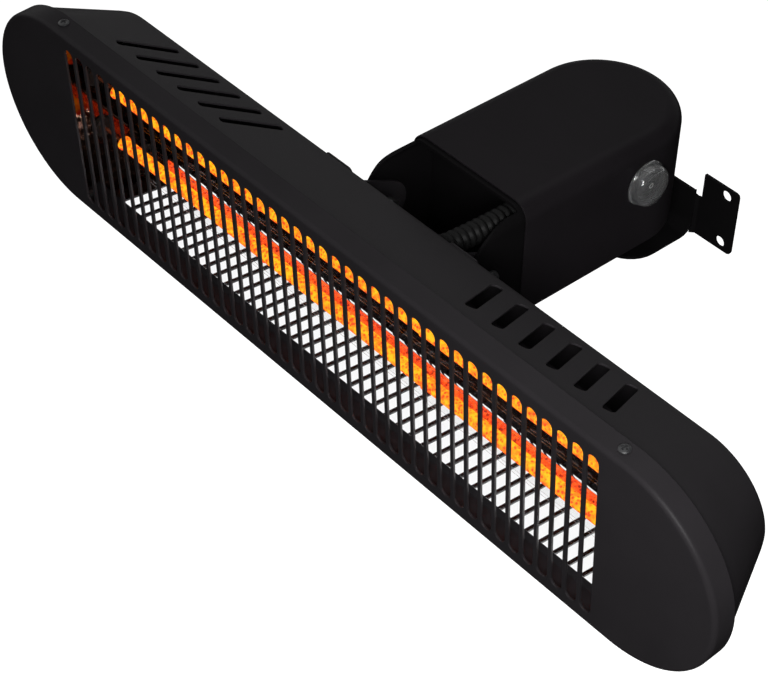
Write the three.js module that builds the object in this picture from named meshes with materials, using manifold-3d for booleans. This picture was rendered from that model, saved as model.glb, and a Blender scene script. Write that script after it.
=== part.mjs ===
// Wall-mounted electric bar heater: a long radiant head on a tilting clevis, a swivelling
// arm housing with a rocker switch, and a folded wall bracket.
// Millimetres, +X along the head (right seen from the front), +Y towards the wall, +Z up.
// The exported group's origin is on the wall plane, midway between the bracket's ears.
import * as THREE from 'three';
import { mergeVertices } from 'three/addons/utils/BufferGeometryUtils.js';
import Module from 'manifold-3d';

// ---- Driving dimensions ----------------------------------------------------------------
// Every y below is a distance behind the head's front face, before WALL_DEPTH is applied.
const WALL_DEPTH = 277.5;       // head front face to wall
const EAR_DROP = 39;            // head centre above the middle of the ears
const TILT = 3.7 * Math.PI / 180; // the head's forward lean at rest
const GAP = 0.3;                // clearance between pieces that touch

// Head
const HEAD_LENGTH = 600;
const HEAD_HEIGHT = 134.3;
const END_CENTRE = (HEAD_LENGTH - HEAD_HEIGHT) / 2;
const COVER_SHEET = 1.5;
const RIM_DEPTH = 14;
const RIM_ROUND = 3;
const SLOT_COUNT = 42;
const SLOT_PITCH = 10.55;
const SLOT_WIDTH = 8.2;
const SLOT_LENGTH = 116;
const TUB_SHEET = 1.2;
const TUB_DEPTH = 65.4;
const TUB_BACK_RADIUS = 41.4;
const TUB_EDGE_ROUND = 3.2;
const VENT_COUNT = 6;
const VENT_PITCH = 19.6;
const VENT_FIRST = 96.3;
const VENT_SLANT = 13.8;
const VENT_FRONT = 24.8;
const VENT_REAR = 57.6;
const VENT_WIDTH = 7;
const VENT_CORNER = 2.4;
const COVER_SCREW_X = 229;
const COVER_SCREW_Y = 7.8;
const COVER_SCREW_HOLE = 1.9;

// Reflector and its two lamps, one above the other. The lip and the fold are each given as
// [depth behind the front face, height above the head's centre].
const TROUGH_LIP = [15.1, 58];
const TROUGH_FOLD = [45.2, 32.9];
const TROUGH_HALF = 231.5;
const TROUGH_SHEET = 1;
const TUBE_Y = 24.6;
const TUBE_Z = 19.75;
const TUBE_RADIUS = 8.8;
const TUBE_BORE = 7.3;
const TUBE_HALF = 229;
const HOT_HALF = 209;
const ELEMENT_RADIUS = 3.5;
const DISC_RADIUS = 4.6;
const DISC_HALF = 0.6;
const DISC_SPACES = 3;
const LEAD_RADIUS = 1;
const PLUG_RADIUS = 7;
const PLUG_HOLE = 7.6;
const BASE_RADIUS = 9.6;
const BASE_END = 246;
const NECK_RADIUS = 5;
const NECK_END = 262;
const HOLDER_X = 256.6;
const HOLDER_HALF = 28;
const HOLDER_FRONT = 14;

// Rear brackets and the tilt joint, whose pivot is given in the arm's level frame
const FIXING_X = 55;
const FIXING_Z = 24;
const FIXING_HOLE = 2.2;
const FOOT_SHEET = 2.2;
const TAB_X = 41.6;
const TAB_HALF = 1;
const TAB_NOSE = 15;
const PIVOT_Y = 91.4;
const PIVOT_Z = 4.2;
const PIVOT_HOLE = 3.2;

// Arm housing
const ARM_HALF = 47.3;
const ARM_FRONT = 116.6;
const ARM_REAR_CENTRE = 221.8;
const ARM_TOP = 42.4;
const ARM_BOTTOM = -34.5;
const ARM_ROUND = 11.3;
const ARM_SHEET = 1.2;
const BASE_SHEET = 1.5;
const FORK_HALF = 45.8;
const FORK_SHEET = 2;
const FORK_TOP = 40.9;
const FORK_ROUND = 9.8;
const FORK_LIP_Y = 113.8;
const FORK_REAR = 150;
const FORK_NOSE_CENTRE = [107, 8];
const FORK_NOSE_RADIUS = 30.5;
const BULKHEAD_Y = 128.5;
const INLET_Y = 175;
const CONDUIT_X = 32;
const CONDUIT_Z = 30.5;
const CONDUIT_RADIUS = 7;
const CONDUIT_ROOT = 5.4;
const CONDUIT_BORE = 4.2;
const CONDUIT_DROP = 2.2;
const SWITCH_Y = 212.3;
const SWITCH_Z = 13.7;
const SWITCH_TURN = -0.73;
const ROCKER_AXIS = 46;
const ROCKER_TILT = 9;

// Swivel and wall bracket
const SWIVEL_Y = 241.3;
const SWIVEL_HOLE = 5.3;
const SHELF_TOP = -60;
const SHELF_HALF = 37.2;
const SHELF_FRONT = 218.6;
const SHELF_CORNER = 22;
const PLATE_FRONT = 273;
const PLATE_TOP = -29.6;
const BRACKET_SHEET = 2;
const BEND_RADIUS = 8;
const EAR_STEP = 2.5;
const EAR_END = 68;
const EAR_TOP = -15.8;
const HOLE_X = 58.8;
const HOLE_SPACING = 34.8;
const HOLE_RADIUS = 3.75;

// ---- Materials -------------------------------------------------------------------------
const finish = (options) => new THREE.MeshStandardMaterial(options);
const paint = (color, roughness = 0.45) => finish({ color, roughness, metalness: 0.1 });
const metal = (color, roughness = 0.3) => finish({ color, roughness, metalness: 1 });
const BLACK = paint(0x17171a);
const BLACK_INNER = paint(0x101012, 0.7);
const MIRROR = metal(0xdedede, 0.12);
const STEEL = metal(0x8d8f92, 0.35);
const BLACK_STEEL = metal(0x1c1c1e, 0.45);
const PLASTIC = paint(0x121213, 0.6);
const NYLON = paint(0xe4e2da, 0.5);
const CERAMIC = paint(0xe9e4d8, 0.7);
const QUARTZ = finish({ color: 0xff9a3c, roughness: 0.05, transparent: true, opacity: 0.5 });
const GLOW = finish({ color: 0xff6a00, emissive: 0xff5a00, roughness: 0.6 });
const CLEAR = finish({ color: 0xe8ecef, roughness: 0.1, transparent: true, opacity: 0.35 });

// ---- Solids ----------------------------------------------------------------------------
const wasm = await Module();
wasm.setup();

// A closed solid from a three.js geometry, with its faces turned outwards.
function solid(geometry) {
  const bare = geometry.clone();
  bare.deleteAttribute('normal');
  bare.deleteAttribute('uv');
  const merged = mergeVertices(bare, 1e-4);
  const source = merged.index.array;
  const kept = [];
  for (let i = 0; i < source.length; i += 3) {
    const [a, b, c] = [source[i], source[i + 1], source[i + 2]];
    if (a !== b && b !== c && c !== a) kept.push(a, b, c);
  }
  const vertProperties = new Float32Array(merged.attributes.position.array);
  const body = new wasm.Manifold(new wasm.Mesh({
    numProp: 3, vertProperties, triVerts: new Uint32Array(kept),
  }));
  if (body.volume() > 0) return body;
  const turned = kept.map((_, i) => kept[i % 3 === 0 ? i : i % 3 === 1 ? i + 1 : i - 1]);
  return new wasm.Manifold(new wasm.Mesh({
    numProp: 3, vertProperties, triVerts: new Uint32Array(turned),
  }));
}

function geometryOf(body) {
  const result = body.getMesh();
  const positions = new Float32Array(result.numVert * 3);
  for (let i = 0; i < result.numVert; i += 1) {
    for (let k = 0; k < 3; k += 1) {
      positions[3 * i + k] = result.vertProperties[i * result.numProp + k];
    }
  }
  const geometry = new THREE.BufferGeometry();
  geometry.setAttribute('position', new THREE.BufferAttribute(positions, 3));
  geometry.setIndex(new THREE.BufferAttribute(new Uint32Array(result.triVerts), 1));
  geometry.computeVertexNormals();
  return geometry;
}

const union = (bodies) => bodies.reduce((sum, body) => sum.add(body));
const cut = (body, tools) => tools.reduce((rest, tool) => rest.subtract(tool), body);

// Extrude a shape along an axis: drawn in YZ for x, in XZ for y and in XY for z.
const AXES = {
  x: new THREE.Matrix4().set(0, 0, 1, 0, 1, 0, 0, 0, 0, 1, 0, 0, 0, 0, 0, 1),
  y: new THREE.Matrix4().set(1, 0, 0, 0, 0, 0, -1, 0, 0, 1, 0, 0, 0, 0, 0, 1),
  z: new THREE.Matrix4(),
};
function prism(shape, axis, from, to, curveSegments = 4) {
  const options = { depth: to - from, bevelEnabled: false, curveSegments };
  const geometry = new THREE.ExtrudeGeometry(shape, options);
  geometry.applyMatrix4(AXES[axis]);
  const start = axis === 'y' ? to : from;
  geometry.translate(axis === 'x' ? start : 0, axis === 'y' ? start : 0, axis === 'z' ? start : 0);
  return solid(geometry);
}

// Revolve [radius, height] pairs about an axis through a point.
function turned(profile, axis, x, y, z, segments = 20) {
  const outline = profile.map(([r, h]) => new THREE.Vector2(r, h));
  const geometry = new THREE.LatheGeometry(outline, segments);
  if (axis === 'z') geometry.rotateX(Math.PI / 2);
  if (axis === 'x') geometry.rotateZ(-Math.PI / 2);
  geometry.translate(x, y, z);
  return solid(geometry);
}
const rod = (radius, axis, from, to, x, y, z, segments = 20) => turned(
  [[0, from], [radius, from], [radius, to], [0, to]], axis, x, y, z, segments);
const ring = (inner, outer, axis, from, to, x, y, z, segments = 20) => turned(
  [[inner, from], [outer, from], [outer, to], [inner, to], [inner, from]], axis, x, y, z, segments);

// The same pair, mirrored across the middle plane where side is -1.
const sided = (side, profile) => profile.map(([r, x]) => [r, side * x]);

// A hexagonal nut with a plain round bore.
const hexNut = (inner, outer, axis, from, to, y, z) => rod(outer, axis, from, to, 0, y, z, 6)
  .subtract(rod(inner, axis, from - 1, to + 1, 0, y, z, 16));

function box(x0, x1, y0, y1, z0, z1) {
  const geometry = new THREE.BoxGeometry(x1 - x0, y1 - y0, z1 - z0);
  geometry.translate((x0 + x1) / 2, (y0 + y1) / 2, (z0 + z1) / 2);
  return solid(geometry);
}

function polygon(points) {
  return new THREE.Shape(points.map(([a, b]) => new THREE.Vector2(a, b)));
}

// A rounded rectangle centred on a point, its corners rounded by r.
function roundedRect(cx, cy, width, height, r) {
  const shape = new THREE.Shape();
  const [w, h] = [width / 2 - r, height / 2 - r];
  shape.absarc(cx + w, cy + h, r, 0, Math.PI / 2, false);
  shape.absarc(cx - w, cy + h, r, Math.PI / 2, Math.PI, false);
  shape.absarc(cx - w, cy - h, r, Math.PI, Math.PI * 1.5, false);
  shape.absarc(cx + w, cy - h, r, Math.PI * 1.5, Math.PI * 2, false);
  return shape;
}

// Points of an arc from one angle to another, in degrees.
function arc(cx, cy, r, from, to, steps) {
  return Array.from({ length: steps + 1 }, (_, i) => {
    const a = (from + (to - from) * i / steps) * Math.PI / 180;
    return [cx + r * Math.cos(a), cy + r * Math.sin(a)];
  });
}

// A stadium-shaped solid: the [radius, depth] section revolved at both ends and extruded between.
function stadium(section, segments = 40) {
  const ends = [-END_CENTRE, END_CENTRE].map((x) => turned(section, 'y', x, 0, 0, segments));
  const mirrored = section.slice().reverse().filter(([r]) => r > 0).map(([r, y]) => [y, -r]);
  const across = polygon([...section.filter(([r]) => r > 0).map(([r, y]) => [y, r]), ...mirrored]);
  return union([prism(across, 'x', -END_CENTRE, END_CENTRE), ...ends]);
}

// A folded sheet's section: the line of one face, thickened on its left-hand side.
function folded(points, sheet) {
  const offset = points.map((p, i) => {
    const before = points[i - 1] ?? p;
    const after = points[i + 1] ?? p;
    const [a, b] = [[before, p], [p, after]].map(([s, e]) => {
      const length = Math.hypot(e[0] - s[0], e[1] - s[1]) || 1;
      return [-(e[1] - s[1]) / length, (e[0] - s[0]) / length];
    });
    const n = i === 0 ? b : i === points.length - 1 ? a : [a[0] + b[0], a[1] + b[1]];
    const scale = sheet / (i === 0 || i === points.length - 1 ? 1 : (n[0] * a[0] + n[1] * a[1]));
    return [p[0] + n[0] * scale, p[1] + n[1] * scale];
  });
  return polygon([...points, ...offset.reverse()]);
}

// ---- Scene graph -----------------------------------------------------------------------
const heater = new THREE.Group();
heater.position.set(0, -WALL_DEPTH, EAR_DROP);
const head = new THREE.Group();
head.rotation.x = TILT;
const arm = new THREE.Group();
const bracket = new THREE.Group();
heater.add(head, arm, bracket);

function place(group, name, body, material) {
  const mesh = new THREE.Mesh(geometryOf(body), material);
  mesh.name = name;
  group.add(mesh);
}

// ---- Head: slotted front cover ---------------------------------------------------------
function frontCover() {
  const R = HEAD_HEIGHT / 2;
  const [r, t] = [RIM_ROUND, COVER_SHEET];
  const outer = [[0, 0], ...arc(R - r, r, r, -90, 0, 3), [R, RIM_DEPTH], [0, RIM_DEPTH]];
  const inner = [
    [0, t], ...arc(R - r, r, r - t, -90, 0, 1), [R - t, RIM_DEPTH + 1], [0, RIM_DEPTH + 1],
  ];
  const slots = Array.from({ length: SLOT_COUNT }, (_, i) => {
    const x = (i - (SLOT_COUNT - 1) / 2) * SLOT_PITCH;
    const outline = roundedRect(x, 0, SLOT_WIDTH, SLOT_LENGTH, SLOT_WIDTH / 2 - 0.01);
    return prism(outline, 'y', -1, t + 1, 1);
  });
  return cut(stadium(outer).subtract(stadium(inner)), [...slots, ...coverScrewHoles()]);
}

// The two holes through rim and tub at each end, top and bottom drilled in one pass.
function coverScrewHoles() {
  return [-1, 1].map((side) => rod(
    COVER_SCREW_HOLE, 'z', -HEAD_HEIGHT, HEAD_HEIGHT, side * COVER_SCREW_X, COVER_SCREW_Y, 0, 12));
}

function coverScrew(side, top) {
  const seat = HEAD_HEIGHT / 2 + GAP;
  const profile = [
    [0, seat - 7.3], [1.5, seat - 7.3], [1.5, seat], [3.3, seat],
    [3.3, seat + 0.6], [2.2, seat + 1.6], [0, seat + 1.8],
  ];
  return turned(sided(top, profile), 'z', side * COVER_SCREW_X, COVER_SCREW_Y, 0, 12);
}

// ---- Head: tapered rear tub with slanted vents -----------------------------------------
function tubSection(inset) {
  const lip = HEAD_HEIGHT / 2 - COVER_SHEET - GAP - inset;
  const back = TUB_BACK_RADIUS - inset;
  const r = TUB_EDGE_ROUND - inset * 0.8;
  const depth = TUB_DEPTH - inset;
  const front = RIM_ROUND + GAP + (inset ? -2 : 0);
  return [
    [0, front], [lip, front], [lip, RIM_DEPTH + 0.5],
    ...arc(back - r, depth - r, r, 24, 90, 3), [0, depth],
  ];
}

// One slanted cutter that opens the taper above and below.
function vent(x, side) {
  const run = VENT_REAR - VENT_FRONT;
  const slanted = roundedRect(0, 0, VENT_WIDTH, Math.hypot(VENT_SLANT, run), VENT_CORNER);
  const options = { depth: 2 * HEAD_HEIGHT, bevelEnabled: false, curveSegments: 1 };
  const geometry = new THREE.ExtrudeGeometry(slanted, options);
  geometry.rotateZ(side * Math.atan2(VENT_SLANT, run));
  geometry.translate(side * x, (VENT_FRONT + VENT_REAR) / 2, -HEAD_HEIGHT);
  return solid(geometry);
}

function rearHousing() {
  const vents = Array.from({ length: VENT_COUNT }, (_, i) => VENT_FIRST + i * VENT_PITCH)
    .flatMap((x) => [vent(x, -1), vent(x, 1)]);
  const fixings = [-1, 1].flatMap((side) => fixingHoles(side));
  const wireway = rod(6.2, 'y', TUB_DEPTH - 5, TUB_DEPTH + 5, CONDUIT_X, 0, conduitHeadZ(), 20);
  return cut(stadium(tubSection(0)).subtract(stadium(tubSection(TUB_SHEET))),
    [...vents, ...fixings, wireway, ...coverScrewHoles()]);
}

// Cutters for one bracket's two screws, through the tub's back and the bracket's foot.
function fixingHoles(side) {
  return [-FIXING_Z, FIXING_Z].map((z) => rod(
    FIXING_HOLE, 'y', TUB_DEPTH - 5, TUB_DEPTH + 5, side * FIXING_X, 0, z, 12));
}

// Height, in the head's own frame, at which the level conduit meets the tilted back.
function conduitHeadZ() {
  return (CONDUIT_Z - TUB_DEPTH * Math.sin(TILT)) / Math.cos(TILT);
}

// ---- Head: reflector and lamps ---------------------------------------------------------
function reflector() {
  const [[ly, lz], [fy, fz]] = [TROUGH_LIP, TROUGH_FOLD];
  const line = [[ly, lz], [fy, fz], [fy, -fz], [ly, -lz]];
  return prism(folded(line, TROUGH_SHEET), 'x', -TROUGH_HALF, TROUGH_HALF);
}

// The plate that closes one end of the trough, pierced for the two tubes.
function reflectorEnd(side) {
  const [front, edge] = [2.6, 2];
  const [[ly, lz], [fy, fz]] = [TROUGH_LIP, TROUGH_FOLD];
  const upper = [[fy + edge, fz + edge], [ly + edge, lz + edge], [front, lz + edge]];
  const lower = upper.map(([y, z]) => [y, -z]).reverse();
  const x = side * (TROUGH_HALF + GAP + TROUGH_SHEET / 2);
  return cut(prism(polygon([...lower, ...upper]), 'x', x - TROUGH_SHEET / 2, x + TROUGH_SHEET / 2),
    [-TUBE_Z, TUBE_Z].map((z) => rod(PLUG_HOLE, 'x', x - 2, x + 2, 0, TUBE_Y, z, 14)));
}

function quartzTube(z) {
  return ring(TUBE_BORE, TUBE_RADIUS, 'x', -TUBE_HALF, TUBE_HALF, 0, TUBE_Y, z, 16);
}

// A carbon rod centred in the tube by spaced discs, with a thin lead to each end.
function heatingElement(z) {
  const [hot, disc, lead] = [ELEMENT_RADIUS, DISC_RADIUS, LEAD_RADIUS];
  const end = TUBE_HALF - 1;
  const pitch = (HOT_HALF - DISC_HALF) * 2 / DISC_SPACES;
  const profile = [[0, -end], [lead, -end]];
  for (let i = 0; i <= DISC_SPACES; i += 1) {
    const x = DISC_HALF - HOT_HALF + i * pitch;
    const [before, after] = [i ? hot : lead, i < DISC_SPACES ? hot : lead];
    profile.push([before, x - DISC_HALF], [disc, x - DISC_HALF]);
    profile.push([disc, x + DISC_HALF], [after, x + DISC_HALF]);
  }
  profile.push([lead, end], [0, end]);
  return turned(profile, 'x', 0, TUBE_Y, z, 8);
}

// Ceramic base: a plug through the end plate, a wider body behind it and a neck in the holder.
function lampBase(side, z) {
  const from = TUBE_HALF + GAP;
  const seat = TROUGH_HALF + TROUGH_SHEET + 2 * GAP;
  const profile = [
    [0, from], [PLUG_RADIUS, from], [PLUG_RADIUS, seat], [BASE_RADIUS, seat],
    [BASE_RADIUS, BASE_END - 2], [NECK_RADIUS, BASE_END], [NECK_RADIUS, NECK_END], [0, NECK_END],
  ];
  return turned(sided(side, profile), 'x', 0, TUBE_Y, z, 14);
}

// A bent plate that stands on the tub's back and carries both lamps by their necks.
function lampHolder(side) {
  const seat = TUB_DEPTH - TUB_SHEET - GAP;
  const foot = 24;
  const plate = polygon([
    [HOLDER_FRONT, -HOLDER_HALF], [seat, -foot], [seat, foot], [HOLDER_FRONT, HOLDER_HALF],
  ]);
  const x = side * HOLDER_X;
  const inward = x - side * 16;
  return cut(union([
    prism(plate, 'x', x - 0.6, x + 0.6),
    box(Math.min(x, inward), Math.max(x, inward), seat - 1.2, seat, -foot, foot),
  ]), [-TUBE_Z, TUBE_Z].map((z) => rod(NECK_RADIUS + GAP, 'x', x - 2, x + 2, 0, TUBE_Y, z, 14)));
}

// ---- Head: rear brackets that carry the pivots -----------------------------------------
// The tilt pivot seen in the head's own frame.
const PIVOT_HEAD = [
  PIVOT_Y * Math.cos(TILT) + PIVOT_Z * Math.sin(TILT),
  PIVOT_Z * Math.cos(TILT) - PIVOT_Y * Math.sin(TILT),
];

function headBracket(side) {
  const [py, pz] = PIVOT_HEAD;
  const base = TUB_DEPTH + GAP;
  const tab = new THREE.Shape();
  tab.moveTo(base, -32);
  const sweep = 1.1;
  tab.lineTo(py + TAB_NOSE * Math.cos(sweep), pz - TAB_NOSE * Math.sin(sweep));
  tab.absarc(py, pz, TAB_NOSE, -sweep, sweep, false);
  tab.lineTo(base, 30);
  const x = side * TAB_X;
  const foot = roundedRect(side * 52, 0.9, 22.8, 74, 3);
  return cut(union([
    prism(tab, 'x', x - TAB_HALF, x + TAB_HALF),
    prism(foot, 'y', base, base + FOOT_SHEET, 2),
  ]), [
    rod(PIVOT_HOLE, 'x', x - 4, x + 4, 0, py, pz, 16),
    ...fixingHoles(side),
  ]);
}

function bracketScrew(side, top) {
  const seat = TUB_DEPTH + GAP + FOOT_SHEET + GAP;
  const profile = [
    [0, seat - 9], [1.9, seat - 9], [1.9, seat], [3.7, seat],
    [3.7, seat + 1.2], [2.6, seat + 2.3], [0, seat + 2.6],
  ];
  return turned(profile, 'y', side * FIXING_X, 0, top * FIXING_Z, 12);
}

function headGland() {
  const hex = turned([[0, 0], [9, 0], [9, 4.4], [8.2, 5], [0, 5]], 'y', 0, 0, 0, 6);
  const neck = rod(5.9, 'y', -5, 6.4, 0, 0, 0);
  return hex.add(neck).subtract(rod(CONDUIT_BORE, 'y', -9, 9, 0, 0, 0))
    .translate([CONDUIT_X, TUB_DEPTH + GAP, conduitHeadZ()]);
}

// ---- Arm: housing, fork channel and base -----------------------------------------------
// Straight sides with a half-round rear, in plan.
function planU(half, front) {
  const shape = new THREE.Shape();
  shape.moveTo(-half, front);
  shape.lineTo(half, front);
  shape.absarc(0, ARM_REAR_CENTRE, half, 0, Math.PI, false);
  return shape;
}

// The housing's full form, its top edge rounded, with every face moved in by an inset.
function armForm(inset) {
  const round = ARM_ROUND - inset;
  const geometry = new THREE.ExtrudeGeometry(planU(ARM_HALF - ARM_ROUND, ARM_FRONT - 60), {
    depth: ARM_TOP - ARM_ROUND - ARM_BOTTOM + 10,
    bevelThickness: round,
    bevelSize: round,
    bevelSegments: 4,
    curveSegments: inset ? 9 : 11,
  });
  geometry.translate(0, 0, ARM_BOTTOM - 10);
  return solid(geometry);
}

function armHousing() {
  const trim = box(-60, 60, ARM_FRONT, 300, ARM_BOTTOM, 60);
  const barrel = rod(10.1, 'x', 40, 55, 0, SWITCH_Y, SWITCH_Z, 28);
  return cut(armForm(0).intersect(trim), [armForm(ARM_SHEET), barrel]);
}

function armBase() {
  const outline = planU(ARM_HALF - ARM_SHEET - GAP, ARM_FRONT + GAP);
  return cut(prism(outline, 'z', ARM_BOTTOM, ARM_BOTTOM + BASE_SHEET, 9), [
    rod(SWIVEL_HOLE, 'z', ARM_BOTTOM - 5, ARM_BOTTOM + 5, 0, SWIVEL_Y, 0, 24),
    rod(6, 'z', ARM_BOTTOM - 5, ARM_BOTTOM + 5, 0, INLET_Y, 0, 16),
  ]);
}

// Inverted channel section, drawn in XZ.
function channel(half, top, round, sheet, bottom) {
  const shape = new THREE.Shape();
  const corner = top - round;
  shape.moveTo(half, bottom);
  shape.absarc(half - round, corner, round, 0, Math.PI / 2, false);
  shape.absarc(round - half, corner, round, Math.PI / 2, Math.PI, false);
  shape.lineTo(-half, bottom);
  shape.lineTo(sheet - half, bottom);
  shape.absarc(round - half, corner, round - sheet, Math.PI, Math.PI / 2, true);
  shape.absarc(half - round, corner, round - sheet, Math.PI / 2, 0, true);
  shape.lineTo(half - sheet, bottom);
  return shape;
}

// The fork that the head tilts in: a channel nested in the housing's mouth, its side plates
// running forward to quarter-round noses while its top stops just proud of the housing.
function fork() {
  const [cy, cz] = FORK_NOSE_CENTRE;
  const bottom = ARM_BOTTOM + 1.8;
  const R = FORK_NOSE_RADIUS;
  const low = bottom + R;
  const side = polygon([
    [FORK_REAR, 60], [FORK_LIP_Y, 60], [FORK_LIP_Y, cz + R], ...arc(cy, cz, R, 90, 180, 9),
    ...arc(cy, low, R, 180, 270, 9), [FORK_LIP_Y, bottom - 1], [FORK_REAR, bottom - 1],
  ]);
  const section = channel(FORK_HALF, FORK_TOP, FORK_ROUND, FORK_SHEET, bottom);
  return cut(prism(section, 'y', 70, FORK_REAR, 6).intersect(prism(side, 'x', -60, 60)), [
    rod(PIVOT_HOLE, 'x', -60, 60, 0, PIVOT_Y, PIVOT_Z, 16),
  ]);
}

function bulkhead() {
  const half = FORK_HALF - FORK_SHEET - GAP;
  const r = FORK_ROUND - FORK_SHEET - GAP;
  const top = FORK_TOP - FORK_SHEET - GAP;
  const shape = new THREE.Shape();
  shape.moveTo(-half, ARM_BOTTOM + 1.8);
  shape.lineTo(half, ARM_BOTTOM + 1.8);
  shape.absarc(half - r, top - r, r, 0, Math.PI / 2, false);
  shape.absarc(r - half, top - r, r, Math.PI / 2, Math.PI, false);
  return prism(shape, 'y', BULKHEAD_Y, BULKHEAD_Y + 1.5, 6)
    .subtract(rod(6, 'y', BULKHEAD_Y - 1, BULKHEAD_Y + 3, CONDUIT_X, 0, CONDUIT_Z - CONDUIT_DROP, 20));
}

function armGland() {
  const [front, seat, end] = [BULKHEAD_Y - 4.2, BULKHEAD_Y - GAP, BULKHEAD_Y + 6];
  const [bore, collar, neck] = [CONDUIT_BORE, 7.4, 5.7];
  const profile = [
    [bore, front], [collar, front], [collar, seat], [neck, seat], [neck, end], [bore, end], [bore, front],
  ];
  return turned(profile, 'y', CONDUIT_X, 0, CONDUIT_Z - CONDUIT_DROP, 16);
}

// Ribbed hose over the lamp leads, level between the head's back and the bulkhead.
function conduit() {
  const [from, to, ribs] = [71.1, 123.9, 11];
  const pitch = (to - from) / ribs;
  const [root, crest, bore] = [CONDUIT_ROOT, CONDUIT_RADIUS, CONDUIT_BORE];
  const outer = Array.from({ length: ribs }, (_, i) => from + i * pitch).flatMap((y) => [
    [root, y], [crest, y + pitch * 0.3], [crest, y + pitch * 0.7],
  ]);
  const profile = [[bore, from], ...outer, [root, to], [bore, to], [bore, from]];
  const hose = turned(profile, 'y', 0, 0, 0, 10);
  const drop = Math.atan2(-CONDUIT_DROP, to - from + 6);
  return hose.translate([0, -from, 0]).rotate([drop * 180 / Math.PI, 0, 0])
    .translate([CONDUIT_X, from, CONDUIT_Z]);
}

// Bushing in the base plate for a mains lead.
function cordInlet() {
  const [bore, flange, neck] = [3.6, 8, 5.7];
  const [low, seat, top] = [ARM_BOTTOM - 2.5, ARM_BOTTOM - GAP, ARM_BOTTOM + 3.5];
  const profile = [
    [bore, low], [flange - 1, low], [flange, low + 1], [flange, seat],
    [neck, seat], [neck, top], [bore, top], [bore, low],
  ];
  return turned(profile, 'z', 0, INLET_Y, 0, 16);
}

// ---- Arm: tilt pivots ------------------------------------------------------------------
// From the middle outwards: nut, head bracket's tab, washer, fork plate and bolt head.
const NUT_SEAT = TAB_X - TAB_HALF - GAP;
const WASHER_SEAT = TAB_X + TAB_HALF + GAP;
const pair = (side, a, b) => [side * a, side * b].sort((p, q) => p - q);

function tiltBolt(side) {
  const seat = FORK_HALF + GAP;
  const profile = [
    [0, NUT_SEAT - 6.7], [2.9, NUT_SEAT - 6.7], [2.9, seat], [6, seat],
    [6, seat + 1.4], [4.6, seat + 3.2], [0, seat + 3.8],
  ];
  return turned(sided(side, profile), 'x', 0, PIVOT_Y, PIVOT_Z, 14);
}

function tiltWasher(side) {
  const [from, to] = pair(side, WASHER_SEAT, FORK_HALF - FORK_SHEET - GAP);
  return ring(PIVOT_HOLE, 9, 'x', from, to, 0, PIVOT_Y, PIVOT_Z);
}

function tiltNut(side) {
  const [from, to] = pair(side, NUT_SEAT - 5.1, NUT_SEAT);
  return hexNut(PIVOT_HOLE, 5.8, 'x', from, to, PIVOT_Y, PIVOT_Z);
}

// ---- Arm: rocker switch ----------------------------------------------------------------
function switchBody() {
  const x = ARM_HALF + GAP;
  const [back, floor] = [28, 42];
  const [barrel, flange, well] = [9.6, 11.5, 8.9];
  const profile = [
    [0, back], [barrel, back], [barrel, x], [flange, x],
    [flange, x + 2.2], [well, x + 2.8], [well, floor], [0, floor],
  ];
  return turned(profile, 'x', 0, SWITCH_Y, SWITCH_Z, 20);
}

// A round rocker whose two faces fall away from a central ridge, pressed in on one side.
function switchRocker() {
  const wedge = polygon([[-9, 44], [9, 44], [9, 48.1], [0.5, 50.6], [-0.5, 50.6], [-9, 48.1]]);
  const geometry = new THREE.ExtrudeGeometry(wedge, { depth: 20, bevelEnabled: false });
  geometry.translate(0, 0, -10);
  // Drawn with x across the ridge and y out of the wall; turned so that y becomes +X.
  geometry.applyMatrix4(new THREE.Matrix4().set(0, 1, 0, 0, 1, 0, 0, 0, 0, 0, -1, 0, 0, 0, 0, 1));
  const across = solid(geometry).intersect(rod(7.4, 'x', 40, 55, 0, 0, 0, 24));
  return across.translate([-ROCKER_AXIS, 0, 0]).rotate([0, 0, -ROCKER_TILT])
    .translate([ROCKER_AXIS, 0, 0]).rotate([SWITCH_TURN * 180 / Math.PI, 0, 0])
    .translate([0, SWITCH_Y, SWITCH_Z]);
}

// Clear weather cap: a flange round the switch and a shallow dome over it.
function switchCover() {
  const x = ARM_HALF + GAP;
  const outside = [
    [14.4, x], [14.4, x + 1.4], [13.2, x + 2], [12.9, x + 5.4],
    [11.4, x + 7.6], [8, x + 8.4], [0, x + 8.6],
  ];
  const inside = [[0, x + 7.6], [7.7, x + 7.4], [10.8, x + 6.8], [11.9, x + 5.2], [11.9, x]];
  return turned([[11.9, x], ...outside, ...inside], 'x', 0, SWITCH_Y, SWITCH_Z, 16);
}

// ---- Swivel ----------------------------------------------------------------------------
// From the shelf upwards: boss, nylon disc, base plate, washer and nut.
function swivelBoss() {
  const [low, high] = [SHELF_TOP + GAP, ARM_BOTTOM - 2.8];
  const profile = [
    [SWIVEL_HOLE, low], [19.5, low], [19.5, low + 3], [16.5, low + 6],
    [18.5, high], [SWIVEL_HOLE, high], [SWIVEL_HOLE, low],
  ];
  return turned(profile, 'z', 0, SWIVEL_Y, 0, 20);
}

function swivelDisc() {
  return ring(SWIVEL_HOLE, 18, 'z', ARM_BOTTOM - 2.5, ARM_BOTTOM - GAP, 0, SWIVEL_Y, 0);
}

function swivelWasher() {
  const seat = ARM_BOTTOM + BASE_SHEET + GAP;
  return ring(SWIVEL_HOLE, 11, 'z', seat, seat + 1.8, 0, SWIVEL_Y, 0, 16);
}

function swivelNut() {
  const seat = ARM_BOTTOM + BASE_SHEET + 1.8 + 2 * GAP;
  return hexNut(SWIVEL_HOLE, 9.2, 'z', seat, seat + 8.1, SWIVEL_Y, 0);
}

function swivelBolt() {
  const under = SHELF_TOP - BRACKET_SHEET - GAP;
  return union([
    rod(9.2, 'z', under - 6.4, under, 0, SWIVEL_Y, 0, 6),
    rod(4.9, 'z', under - 1, ARM_BOTTOM + 15, 0, SWIVEL_Y, 0, 24),
  ]);
}

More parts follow.
